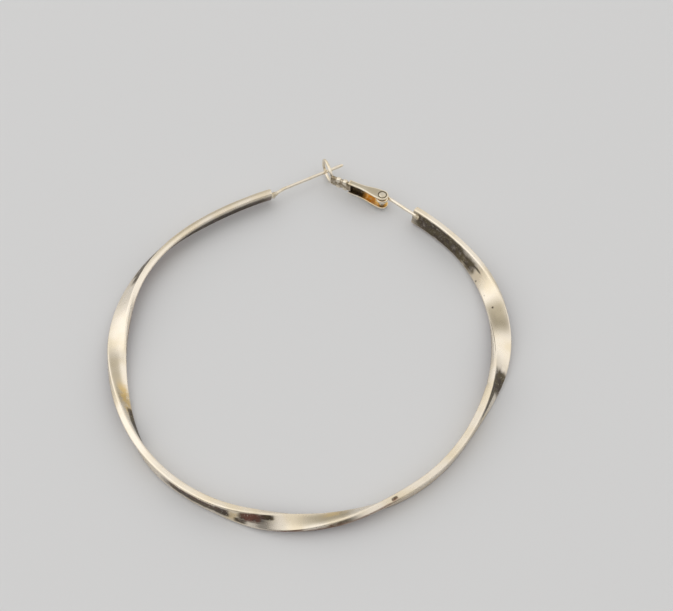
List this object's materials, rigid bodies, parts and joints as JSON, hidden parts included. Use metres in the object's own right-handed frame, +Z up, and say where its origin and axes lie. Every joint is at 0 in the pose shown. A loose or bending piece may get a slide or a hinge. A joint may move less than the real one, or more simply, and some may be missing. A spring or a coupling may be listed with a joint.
{
  "type": "twisted hoop earring",
  "caption": "Large open hoop earring of flat metal band twisted about its own line, with a straight ear post and a hinged lever whose loop closes round the post.",
  "frame": {"origin": "middle of the bounding box on the surface that the earring lies on", "axes": "+Z up from the surface; +Y from the bottom of the hoop towards the clasp; +X from the ear post's side towards the lever's hinge"},
  "size_m": [0.0786, 0.084, 0.0049],
  "materials": {
    "band_plate": "pale gold plating, polished, slightly lumpy, with small dark spots",
    "clasp_plate": "pale gold plating, polished, warmer inside the channel",
    "pin_plate": "pale gold plating, polished, duller in its dimples"
  },
  "bodies": {
    "hoop": {"hoop": "band_plate"},
    "lever": {"lever": "clasp_plate", "hinge_pin": "pin_plate"}
  },
  "joints": [
    {"name": "lever_hinge", "type": "hinge", "parent": "hoop", "child": "lever", "pos_m": [0.01482, 0.03159, 0.00255], "axis": [0, 0, -1], "range_deg": [0, 120]}
  ]
}
